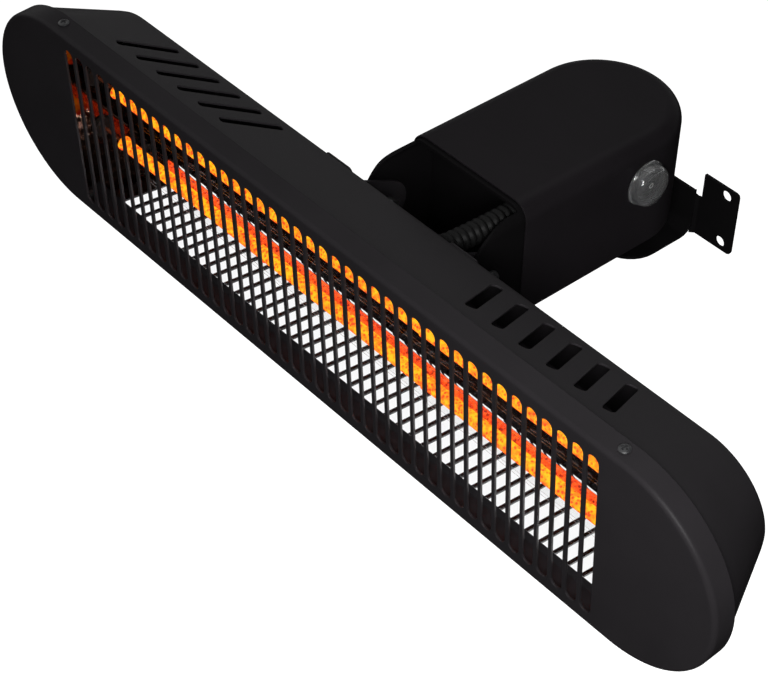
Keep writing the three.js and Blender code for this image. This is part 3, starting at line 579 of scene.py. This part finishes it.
def glowing(name):
    """The glowing rod: yellow-orange where the attribute hot is 1, redder where it is 0,
    with small duller spots and a slow drift in brightness. The split is painted light: the red lower
    back stands in for the rod's dimmer image in the reflector."""
    material = bpy.data.materials.new(name)
    material.use_nodes = True
    place = begin(material.node_tree)
    hot = place.make("ShaderNodeAttribute", {"attribute_name": "hot"}, {}, "Fac")
    along = place.make("ShaderNodeSeparateXYZ", {}, {"Vector": place}, "X")
    along = place.make("ShaderNodeMath", {"operation": "ABSOLUTE"}, {0: along})
    lit = place.make("ShaderNodeMapRange", {}, {
        "Value": along, "From Min": 0.2075, "From Max": 0.2125, "To Min": 1.0, "To Max": 0.0})
    spots = place.make("ShaderNodeTexVoronoi", {"feature": "F1"}, {
        "Vector": place, "Scale": 460.0, "Randomness": 1.0}, "Distance")
    dots = place.make("ShaderNodeMapRange", {}, {
        "Value": spots, "From Min": 0.22, "From Max": 0.46, "To Min": 0.0, "To Max": 1.0})
    heat = 0.46 * dots + 1.5 * (noise(place, 330, 2.0) - 0.5) + 0.5 * (noise(place, 60, 1.0) - 0.5) + 0.33
    yellow = place.make("ShaderNodeValToRGB", {"stops": [
        (0.30, (0.62, 0.040, 0.006, 1)), (0.50, (0.90, 0.15, 0.006, 1)),
        (0.72, (0.95, 0.27, 0.004, 1)), (0.95, (0.98, 0.46, 0.006, 1))]}, {"Fac": heat})
    red = place.make("ShaderNodeValToRGB", {"stops": [
        (0.30, (0.30, 0.008, 0.004, 1)), (0.50, (0.80, 0.040, 0.006, 1)),
        (0.72, (0.95, 0.075, 0.010, 1)), (0.95, (0.98, 0.13, 0.015, 1))]}, {"Fac": heat})
    # Painted light: the red side gives the rod's dimmer mirrored band.
    fire = blend_colours(place, lit, (0, 0, 0, 1), blend_colours(place, hot, red, yellow))
    surface = place.make("ShaderNodeBsdfPrincipled", {}, {
        "Base Color": (0.2, 0.05, 0.02, 1), "Roughness": 0.8, "Specular IOR Level": 0.1,
        "Emission Color": fire, "Emission Strength": 1.35,
    })
    surface.make("ShaderNodeOutputMaterial", {}, {"Surface": surface})
    return material


def clear(name, tint, roughness, ior):
    """Clear glass or plastic."""
    material = bpy.data.materials.new(name)
    material.use_nodes = True
    place = begin(material.node_tree)
    haze = noise(place, 90, 2.0)
    surface = place.make("ShaderNodeBsdfPrincipled", {}, {
        "Base Color": tint, "Roughness": roughness + 0.02 * haze, "IOR": ior, "Transmission Weight": 0.965,
    })
    surface.make("ShaderNodeOutputMaterial", {}, {"Surface": surface})
    return material


def thin_quartz(name):
    """A tube wall too thin to bend light: seen only where it gleams, and at its edges."""
    material = bpy.data.materials.new(name)
    material.use_nodes = True
    place = begin(material.node_tree)
    edge = place.make("ShaderNodeLayerWeight", {}, {"Blend": 0.5}, "Facing")
    seen = place.make("ShaderNodeMapRange", {}, {
        "Value": edge, "From Min": 0.78, "From Max": 0.98, "To Min": 0.03, "To Max": 0.75})
    surface = place.make("ShaderNodeBsdfPrincipled", {}, {
        "Base Color": (0.03, 0.025, 0.022, 1), "Roughness": 0.03, "Alpha": seen,
    })
    surface.make("ShaderNodeOutputMaterial", {}, {"Surface": surface})
    return material


def plain(name, first, second, roughness, metallic, specular=0.5, scale=300.0, depth=0.00003):
    """A plain finish with fine mottling between two colours and a faint texture."""
    material = bpy.data.materials.new(name)
    material.use_nodes = True
    place = begin(material.node_tree)
    grain = noise(place, scale, 3.0)
    surface = place.make("ShaderNodeBsdfPrincipled", {}, {
        "Base Color": blend_colours(place, grain, first, second), "Metallic": metallic,
        "Roughness": roughness + 0.12 * (grain - 0.5), "Specular IOR Level": specular,
        "Normal": bump(place, grain, depth, 0.4),
    })
    surface.make("ShaderNodeOutputMaterial", {}, {"Surface": surface})
    return material


def ceramic_painted_shade(name):
    """Ivory ceramic, drawn near black towards the lamps as painted shade: the plug inside the end plate."""
    material = bpy.data.materials.new(name)
    material.use_nodes = True
    place = begin(material.node_tree)
    along = place.make("ShaderNodeSeparateXYZ", {}, {"Vector": place}, "X")
    along = place.make("ShaderNodeMath", {"operation": "ABSOLUTE"}, {0: along})
    # Painted shade: inside the end plates the ceramic is drawn near black.
    beyond_painted_shade = place.make("ShaderNodeMapRange", {}, {
        "Value": along, "From Min": 0.2325, "From Max": 0.2365, "To Min": 0.0, "To Max": 1.0})
    grain = noise(place, 300, 3.0)
    ivory = blend_colours(place, grain, (0.62, 0.58, 0.52, 1), (0.74, 0.70, 0.64, 1))
    surface = place.make("ShaderNodeBsdfPrincipled", {}, {
        "Base Color": blend_colours(place, beyond_painted_shade, (0.012, 0.009, 0.008, 1), ivory), "Roughness": 0.8,
        "Specular IOR Level": 0.2, "Normal": bump(place, grain, 0.00003, 0.4),
    })
    surface.make("ShaderNodeOutputMaterial", {}, {"Surface": surface})
    return material


quartz = thin_quartz("quartz")
element = glowing("element")
ceramic = ceramic_painted_shade("ceramic")
steel = plain("plain_steel", (0.40, 0.40, 0.41, 1), (0.50, 0.50, 0.50, 1), 0.32, 1.0, scale=700.0)


def store_painted_bright_side(made, centre):
    """Store hot on each corner: 1 on the side facing up and forward of the rod's axis, 0 on
    the side facing down and back, from the corner's angle about the axis. The split is painted light,
    not a difference in heat."""
    place = np.empty(len(made.data.vertices) * 3)
    made.data.vertices.foreach_get("co", place)
    across = place.reshape(-1, 3)[:, 1:] - on_head([centre])[0, 1:]
    angle = np.degrees(np.arctan2(across[:, 1], across[:, 0]))
    away = np.abs((angle - 115 + 180) % 360 - 180)
    share = made.data.attributes.new("hot", "FLOAT", "POINT")
    share.data.foreach_set("value", np.clip((88 - away) / 14, 0, 1))


def heating_rod():
    """Profile of the rod: thin leads, the glowing length, and wider discs at equal spaces."""
    discs = np.linspace(-HOT_HALF + 0.6, HOT_HALF - 0.6, 4)
    profile = [[0, -228], [1, -228], [1, -HOT_HALF]]
    for k, x in enumerate(discs):
        before, after = (1 if k == 0 else 3.9), (1 if k == 3 else 3.9)
        profile += [[before, x - 0.6], [4.6, x - 0.6], [4.6, x + 0.6], [after, x + 0.6]]
    return profile + [[1, 228], [0, 228]]


for prefix, height in (("", -TUBE_Z), ("upper_", TUBE_Z)):
    centre = (0, TUBE_Y, height)
    wall = [[TUBE_BORE, -TUBE_HALF], [TUBE_RADIUS, -TUBE_HALF], [TUBE_RADIUS, TUBE_HALF],
            [TUBE_BORE, TUBE_HALF], [TUBE_BORE, -TUBE_HALF]]
    turned_piece(prefix + "quartz_sleeve", prefix + "quartz_tube", wall,
                 "x", centre, on_head, "head", quartz, 0, 64)
    rod = turned_piece(prefix + "glowing_rod", prefix + "heating_element", heating_rod(),
                       "x", centre, on_head, "head", element, 0, 40)
    store_painted_bright_side(rod, centre)
    for side, word in ((-1, "left"), (1, "right")):
        base = [[0, 229.3], [6.6, 229.3], [7.0, 229.8], [7.0, 233.1], [9.2, 233.1],
                [9.6, 233.6], [9.6, 238],
                [9.1, 238.5], [9.1, 239.5], [9.6, 240], [9.6, 244], [8.6, 245.2], [5.2, 246], [5, 246.4],
                [5, 261.6], [4.6, 262], [0, 262]]
        turned_piece(prefix + "ceramic_base_" + word, prefix + "lamp_base_" + word,
                     [[r, side * x] for r, x in base],
                     "x", centre, on_head, "head", ceramic, 0, 40)
for word in ("left", "right"):
    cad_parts["lamp_holder_" + word].data.materials.clear()
    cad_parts["lamp_holder_" + word].data.materials.append(steel)

# ---- Rear brackets and screws --------------------------------------------------------------
# Two bent steel brackets screwed to the back of the head carry the pivots. All screws have
# black domed heads with a cross recess.
black_steel = plain("black_screws", (0.012, 0.012, 0.013, 1), (0.02, 0.02, 0.021, 1), 0.38, 0.0, 0.35, 900.0)


def dressed(node, body, material, width=0.4, segments=2):
    """A merged copy of a CAD node with its arrises rounded, standing for that node."""
    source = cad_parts[node].data
    corners = np.empty(len(source.vertices) * 3)
    source.vertices.foreach_get("co", corners)
    faces = [tuple(p.vertices) for p in source.polygons]
    made = piece(node + "_finished", corners.reshape(-1, 3), faces, body, material)
    shape = bmesh.new()
    shape.from_mesh(made.data)
    bmesh.ops.dissolve_limit(shape, angle_limit=np.radians(1.0), verts=shape.verts, edges=shape.edges)
    shape.to_mesh(made.data)
    shape.free()
    made.data.shade_smooth()
    soften(made, width, segments, None, 30)
    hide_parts(node)
    return made


def cross_head(name, node, seat, normal_axis, sign, radius, rise, shank, place):
    """A domed screw head over a disc grid: height = rise * (1 - (r/R)^2.5), less a cross cut
    1 mm deep where either cross coordinate is small, with a shank behind."""
    rings = np.r_[0, np.linspace(0.12, 1, 12)]
    a = np.linspace(0, 2 * np.pi, 48, endpoint=False)
    u, v = radius * rings[:, None] * np.cos(a), radius * rings[:, None] * np.sin(a)
    arm_width, arm_reach = radius * 0.15, radius * 0.55
    inside = np.clip((arm_width - np.minimum(np.abs(u), np.abs(v))) / (0.05 * radius) + 0.5, 0, 1)
    reach = np.clip((arm_reach - np.hypot(u, v)) / (0.08 * radius) + 0.5, 0, 1)
    height = 0.5 + rise * (1 - rings[:, None] ** 2.5) - inside * reach
    top = np.stack([u, v, height + 0 * u], 2)
    skirt = [np.stack([r * np.cos(a), r * np.sin(a), np.full(a.size, float(h))], 1)[None]
             for r, h in ((radius, 0), (radius * 0.5, 0), (radius * 0.5, -shank), (0, -shank))]
    rows = np.concatenate([top, *skirt])
    order = {"z": (0, 1, 2), "y": (0, 2, 1), "x": (2, 0, 1)}[normal_axis]
    local = rows * (1, 1, sign)
    points = local[:, :, order].reshape(-1, 3) + seat
    made = piece(name, place(points), ring_faces(len(rows), a.size), "head" if place is on_head else "arm",
                 black_steel)
    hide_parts(node)


SCREW_X, SCREW_Y = 229.0, 7.8
for sign, high in ((1, "top"), (-1, "bottom")):
    for side, word in ((-1, "left"), (1, "right")):
        cross_head(f"cover_screw_head_{high}_{word}", f"cover_screw_{high}_{word}",
                   (side * SCREW_X, SCREW_Y, sign * (RIM_RADIUS + 0.25)), "z", sign, 3.3, 1.2, 6, on_head)
        cross_head(f"bracket_screw_head_{high}_{word}", f"bracket_screw_{high}_{word}",
                   (side * 55, TUB_DEPTH + 2.8, sign * 24), "y", 1, 3.7, 1.6, 8, on_head)
for word in ("left", "right"):
    dressed("head_bracket_" + word, "head", coat, 0.4)

# ---- Conduit and its glands ----------------------------------------------------------------
# A ribbed black hose takes the lamp leads from a gland in the head's back to one in the arm's
# bulkhead.
rubber = plain("black_plastic", (0.003, 0.003, 0.003, 1), (0.006, 0.006, 0.006, 1), 0.5, 0.0, 0.06, 600.0)
CONDUIT_X = 32.0
CONDUIT_Z = 30.5
CONDUIT_DROP = 2.2
CONDUIT_FROM, CONDUIT_TO = 69.8, 126.0
RIBS = 12


def ribbed_hose():
    """Rings along a nearly level line: radius = 5.7 + 1.3 * (rib wave)^0.6."""
    s = np.linspace(0, 1, RIBS * 14 + 1)
    wave = 0.5 - 0.5 * np.cos(2 * np.pi * RIBS * s)
    radius = 5.7 + 1.3 * wave ** 0.6
    y = CONDUIT_FROM + (CONDUIT_TO - CONDUIT_FROM) * s
    z = CONDUIT_Z - CONDUIT_DROP * s - 0.8 * np.sin(np.pi * s)
    a = np.linspace(0, 2 * np.pi, 40, endpoint=False)
    rows = np.stack([CONDUIT_X + radius[:, None] * np.cos(a), np.broadcast_to(y[:, None], (s.size, a.size)),
                     z[:, None] + radius[:, None] * np.sin(a)], 2)
    caps = [np.broadcast_to([CONDUIT_X, y[k], z[k]], (1, a.size, 3)) for k in (0, -1)]
    grid = np.concatenate([caps[0], rows, caps[1]])
    return grid.reshape(-1, 3), ring_faces(len(grid), a.size)


points, faces = ribbed_hose()
hose = piece("ribbed_hose", on_arm(points), faces, "arm", rubber)
hose.parent = None
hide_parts("conduit")
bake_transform(hose)
dressed("head_gland", "head", rubber, 0.3)
dressed("arm_gland", "arm", rubber, 0.3)

# ---- Arm housing ---------------------------------------------------------------------------
# A deep-drawn steel cover: straight sides, a half-round rear, and one generous radius all
# round its top. Its open mouth takes the fork, and a flat plate closes it below.
ARM_HALF = 47.3
ARM_FRONT = 116.6
ARM_REAR = 221.8
ARM_TOP, ARM_BOTTOM = 42.4, -34.5
ARM_ROUND = 11.3
SWITCH_Y, SWITCH_Z = 212.3, 13.7


def arm_housing():
    """One section (wall, fillet, flat top to the middle line) carried along the right side,
    round the half-circle rear and back along the left side."""
    sides = np.linspace(ARM_FRONT, ARM_REAR, 12)
    turn = np.linspace(0, np.pi, 49)[1:-1]
    cy = np.concatenate([sides, np.full(turn.size, ARM_REAR), sides[::-1]])
    angle = np.concatenate([np.zeros(sides.size), turn, np.full(sides.size, np.pi)])
    corner = arc(ARM_HALF - ARM_ROUND, ARM_TOP - ARM_ROUND, ARM_ROUND, 0, 90, 12)
    section = np.concatenate([[[ARM_HALF, ARM_BOTTOM], [ARM_HALF, 0]], corner,
                              [[18, ARM_TOP], [0, ARM_TOP]]])
    r, h = section[:, 0], section[:, 1]
    grid = np.stack([np.cos(angle)[:, None] * r, cy[:, None] + np.sin(angle)[:, None] * r,
                     np.broadcast_to(h, (angle.size, r.size))], 2)
    return grid.reshape(-1, 3), strip_faces(angle.size, r.size)


points, faces = arm_housing()
# The arm housing takes the darker copy of the coat: painted shade.
housing = piece("arm_housing_cover", on_arm(points), faces, "arm", arm_coat_painted_shade, (0, 0, 1))
soften(housing, 0.35, 2, 1.2, 50)
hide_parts("arm_housing")
# The base takes the darker copy of the coat and the bulkhead the darkest: painted shade.
dressed("arm_base", "arm", arm_coat_painted_shade, 0.3)
dressed("arm_bulkhead", "arm", coat_painted_deep_shade, 0.3)

# ---- Tilting fork --------------------------------------------------------------------------
# A channel of 2 mm steel nested in the housing's mouth. Its top stops just ahead of the
# housing; its side plates run on to quarter-round noses that carry the pivot bolts.
FORK_HALF = 45.8
FORK_SHEET = 2.0
FORK_TOP = 40.9
FORK_ROUND = 9.8
FORK_BOTTOM = -32.7
FORK_REAR = 150.0
FORK_LIP = 113.8
NOSE_Y, NOSE_Z = 107.0, 8.0
NOSE_RADIUS = 30.5


def fork():
    """A channel section whose front edge at each height follows the noses' two arcs."""
    wall = NOSE_Z + NOSE_RADIUS
    low = FORK_BOTTOM + NOSE_RADIUS
    heights = np.concatenate([low - NOSE_RADIUS * np.cos(np.linspace(0, np.pi / 2, 14)),
                              NOSE_Z + NOSE_RADIUS * np.sin(np.linspace(0, 1.31, 12))])
    corner = arc(FORK_HALF - FORK_ROUND, FORK_TOP - FORK_ROUND, FORK_ROUND, 0, 90, 14)
    side = [(FORK_HALF, h) for h in heights if h < corner[0, 1]] + [tuple(p) for p in corner]
    for z in (wall - 0.02, wall + 0.02):
        rise = z - FORK_TOP + FORK_ROUND
        side.append((FORK_HALF - FORK_ROUND + float(np.sqrt(max(FORK_ROUND ** 2 - rise ** 2, 0))), z))
    side = np.array(sorted(side, key=lambda p: (p[1], -p[0])))
    section = np.concatenate([side, side[::-1] * (-1, 1)])
    x, z = section[:, 0], section[:, 1]
    upper = NOSE_Y - np.sqrt(np.maximum(NOSE_RADIUS ** 2 - np.maximum(z - NOSE_Z, 0) ** 2, 0))
    lower = NOSE_Y - np.sqrt(np.maximum(NOSE_RADIUS ** 2 - np.minimum(z - low, 0) ** 2, 0))
    front = np.where(z > wall, FORK_LIP, np.maximum(upper, lower))
    t = np.linspace(0, 1, 10)
    grid = np.stack([np.broadcast_to(x[:, None], (x.size, t.size)),
                     front[:, None] + (FORK_REAR - front[:, None]) * t,
                     np.broadcast_to(z[:, None], (x.size, t.size))], 2)
    return grid.reshape(-1, 3), strip_faces(x.size, t.size)


points, faces = fork()
# The fork takes the darkest copy of the coat: painted shade.
channel = piece("fork_channel", on_arm(points), faces, "arm", coat_painted_deep_shade, (0, 0, 1))
soften(channel, 0.4, 2, FORK_SHEET, 50)
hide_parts("tilt_fork")

# ---- Pivot bolts ---------------------------------------------------------------------------
# A black button-head bolt through each fork plate, a nylon washer and the head's bracket, with
# a plated nut inside.
nylon = plain("nylon", (0.60, 0.59, 0.56, 1), (0.68, 0.67, 0.64, 1), 0.55, 0.0)
PIVOT_Y, PIVOT_Z = 91.4, 4.2
for side, word in ((-1, "left"), (1, "right")):
    bolt = [[0, 33.6], [2.6, 33.6], [2.9, 34.0], [2.9, 46.1], [6, 46.1], [6, 47.2], [5.6, 48.2], [4.6, 49.2],
            [3.2, 49.8], [2.1, 49.9], [2.1, 48.0], [0, 47.6]]
    turned_piece("pivot_bolt_" + word, "tilt_bolt_" + word, [[r, side * x] for r, x in bolt],
                 "x", (0, PIVOT_Y, PIVOT_Z), on_arm, "arm", black_steel, 0, 36)
    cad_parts["tilt_washer_" + word].data.materials.clear()
    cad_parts["tilt_washer_" + word].data.materials.append(nylon)
    dressed("tilt_nut_" + word, "arm", steel, 0.3)

# ---- Rocker switch -------------------------------------------------------------------------
# A round black rocker switch in the housing's right side under a clear domed weather cap.
SIDE = ARM_HALF + 0.3
SWITCH_TURN = -0.73
ROCKER_TILT = np.radians(9)
ROCKER_AXIS = 46.0
ROCKER_RADIUS = 7.4
RIDGE, SLOPE = 50.5, 0.28
MARK_OFFSET, MARK_REACH, MARK_THICK = 4.0, 1.5, 0.28
switch_centre = (0, SWITCH_Y, SWITCH_Z)
cap_plastic = clear("clear_cap", (0.96, 0.97, 0.98, 1), 0.02, 1.4)
turned_piece("switch_bezel", "switch_body",
             [[0, 28], [9.6, 28], [9.6, SIDE], [11.5, SIDE], [11.5, SIDE + 1.8], [11.0, SIDE + 2.4],
              [9.4, SIDE + 2.7], [8.9, SIDE + 2.3], [8.9, 42], [0, 42]],
             "x", switch_centre, on_arm, "arm", rubber, 0, 56)
turned_piece("weather_cap", "switch_cover",
             [[11.9, SIDE], [14.2, SIDE], [14.4, SIDE + 0.3], [14.4, SIDE + 1.1], [14.0, SIDE + 1.6],
              [13.3, SIDE + 2.0], [13.0, SIDE + 5.2], [12.4, SIDE + 6.8], [11.2, SIDE + 7.8],
              [8, SIDE + 8.4], [0, SIDE + 8.6], [0, SIDE + 7.6], [7.7, SIDE + 7.4],
              [10.8, SIDE + 6.8], [11.7, SIDE + 5.8], [11.9, SIDE + 4.8], [11.9, SIDE]],
             "x", switch_centre, on_arm, "arm", cap_plastic, 0, 56)


def rocker_place(points):
    """Rocker coordinates (out of the wall, across the ridge, along the ridge) to the frame:
    rocked about the pivot line, turned in the wall's plane, then placed on the housing."""
    p = np.asarray(points, float)
    out, across = p[:, 0] - ROCKER_AXIS, p[:, 1]
    c, s = np.cos(-ROCKER_TILT), np.sin(-ROCKER_TILT)
    out, across = out * c - across * s + ROCKER_AXIS, out * s + across * c
    c, s = np.cos(SWITCH_TURN), np.sin(SWITCH_TURN)
    along = p[:, 2]
    return on_arm(np.stack([out, across * c - along * s + SWITCH_Y, across * s + along * c + SWITCH_Z], 1))


def rocker():
    """A disc whose face falls away either side of a ridge: out = 50.5 - 0.28 * |across|,
    rounded over at the ridge and the rim."""
    rings = np.r_[0, np.linspace(0.1, 1, 14)] * ROCKER_RADIUS
    a = np.linspace(0, 2 * np.pi, 56, endpoint=False)
    across, along = rings[:, None] * np.cos(a), rings[:, None] * np.sin(a)
    out = RIDGE - SLOPE * np.sqrt(across ** 2 + 0.15) - 0.35 * (rings[:, None] / ROCKER_RADIUS) ** 10
    face = np.stack([out, across, along], 2)
    skirt = [np.stack([np.full(a.size, 44.0), r * np.cos(a), r * np.sin(a)], 1)[None]
             for r in (ROCKER_RADIUS, 0)]
    rows = np.concatenate([face, *skirt])
    return rows.reshape(-1, 3), ring_faces(len(rows), a.size)


points, faces = rocker()
made = piece("rocker_button", rocker_place(points), faces, "rocker", rubber)
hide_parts("switch_rocker")

# The marks for off and on, moulded proud of the rocker in white: a ring and a bar.
white = plain("white_mark", (0.55, 0.55, 0.55, 1), (0.65, 0.65, 0.65, 1), 0.5, 0.0)


def off_ring():
    """A small torus on the raised side: radius 1.5 round a point 4 mm from the ridge."""
    u, v = np.meshgrid(np.linspace(0, 2 * np.pi, 28, endpoint=False),
                       np.linspace(0, 2 * np.pi, 9), indexing="ij")
    r = MARK_REACH + MARK_THICK * np.cos(v)
    across = MARK_OFFSET + r * np.cos(u)
    grid = np.stack([RIDGE - SLOPE * across + 0.2 * np.sin(v), across, r * np.sin(u)], 2)
    closed = np.concatenate([grid, grid[:1]])
    return closed.reshape(-1, 3), strip_faces(*closed.shape[:2])


def on_bar():
    """A rounded bar on the pressed side, along the slope: a tube squashed against the face."""
    u, v = np.meshgrid(np.linspace(-1, 1, 12), np.linspace(0, 2 * np.pi, 13), indexing="ij")
    r = MARK_THICK * np.sqrt(np.maximum(1 - u ** 8, 0))
    across = -MARK_OFFSET + MARK_REACH * u
    grid = np.stack([RIDGE + SLOPE * across + r * np.sin(v), across, r * np.cos(v)], 2)
    return grid.reshape(-1, 3), strip_faces(*grid.shape[:2])


for name, shape in (("mark_off", off_ring), ("mark_on", on_bar)):
    points, faces = shape()
    piece(name, rocker_place(points), faces, "rocker", white)

# ---- Lead inlet ----------------------------------------------------------------------------
# A rubber bushing in the base plate for a mains lead.
dressed("cord_inlet", "arm", rubber, 0.3)

# ---- Swivel --------------------------------------------------------------------------------
# A turned boss stands on the bracket's shelf and a bolt clamps the arm on it through a nylon
# disc, so that the arm can be swung and stays where it is put.
for node, material, slot in (("swivel_boss", coat, "black_coat"), ("swivel_disc", nylon, "nylon"),
                             ("swivel_bolt", steel, "plain_steel"), ("swivel_nut", steel, "plain_steel")):
    dressed(node, "wall_bracket_body", material, 0.3)
dressed("swivel_washer", "arm", steel, 0.2)

# ---- Wall bracket --------------------------------------------------------------------------
# One folded plate: a round-cornered shelf under the arm, a back plate, and an ear stepped back
# to the wall on each side with two screw holes.
# The bracket takes the darkest copy of the coat: painted shade.
dressed("wall_bracket", "wall_bracket_body", coat_painted_deep_shade, 0.35)
